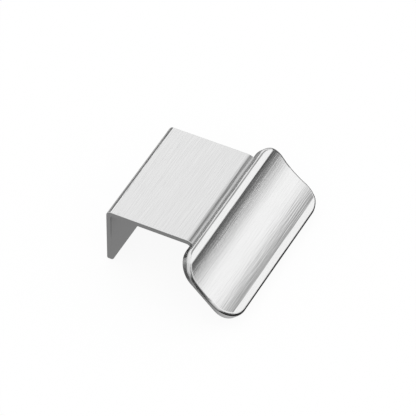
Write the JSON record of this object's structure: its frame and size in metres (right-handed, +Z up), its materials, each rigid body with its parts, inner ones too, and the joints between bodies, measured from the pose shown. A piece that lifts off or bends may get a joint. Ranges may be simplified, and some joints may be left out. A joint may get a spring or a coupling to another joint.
{
  "type": "profile handle",
  "caption": "Short brushed aluminium profile handle for a board's top edge: a screw flange, a flat plate and a slanted finger lip with a scooped face and rounded corners.",
  "frame": {"origin": "middle of the flat seat under the plate, where it lies on the board's top edge", "axes": "+X along the board, -Y to the front of the drawer or door, +Z up"},
  "size_m": [0.05, 0.0398, 0.0174],
  "materials": {
    "aluminium": "brushed along its length, clear anodised"
  },
  "bodies": {
    "root": {"profile_handle": "aluminium"}
  },
  "joints": []
}
